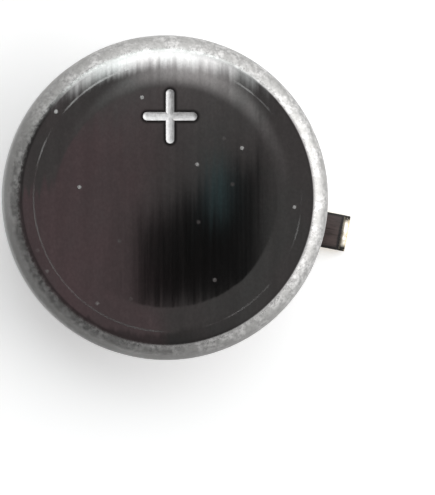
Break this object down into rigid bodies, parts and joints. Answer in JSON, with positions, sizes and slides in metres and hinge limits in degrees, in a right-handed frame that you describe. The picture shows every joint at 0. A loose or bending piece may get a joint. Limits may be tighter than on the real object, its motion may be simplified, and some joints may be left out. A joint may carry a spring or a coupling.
{
  "type": "watch battery capacitor",
  "caption": "Rechargeable coin cell for solar watches: steel can crimped over a gasket and cap, with a gold-plated, film-insulated terminal tab welded to the negative side.",
  "frame": {"origin": "on the cell's axis, in the plane it rests on, which is the outer face of the film under the terminal tab", "axes": "+Z along the cell's axis towards the positive face, +X along the terminal tab towards its free tip"},
  "size_m": [0.0074, 0.0068, 0.0022],
  "materials": {
    "nickel_steel": "polished nickel-plated stainless steel, rolled grain on the face, satin on the side",
    "cap_steel": "satin stainless steel with fine drawing marks",
    "gasket_black": "moulded nylon, black with sealant",
    "carbon_paint": "dried conductive carbon adhesive",
    "negative_mix": "pressed powder, blue-grey and matte",
    "positive_mix": "pressed powder, black and matte",
    "fleece": "off-white non-woven fibre",
    "gold_plate": "gold-plated stainless strip, satin",
    "amber_film": "orange-brown insulating film, glossy"
  },
  "bodies": {
    "root": {"positive_can": "nickel_steel", "negative_cap": "cap_steel", "sealing_gasket": "gasket_black", "negative_carbon_layer": "carbon_paint", "positive_carbon_layer": "carbon_paint", "negative_pellet": "negative_mix", "positive_pellet": "positive_mix", "separator": "fleece", "terminal_tab": "gold_plate", "outer_film": "amber_film", "inner_film": "amber_film"}
  },
  "joints": []
}
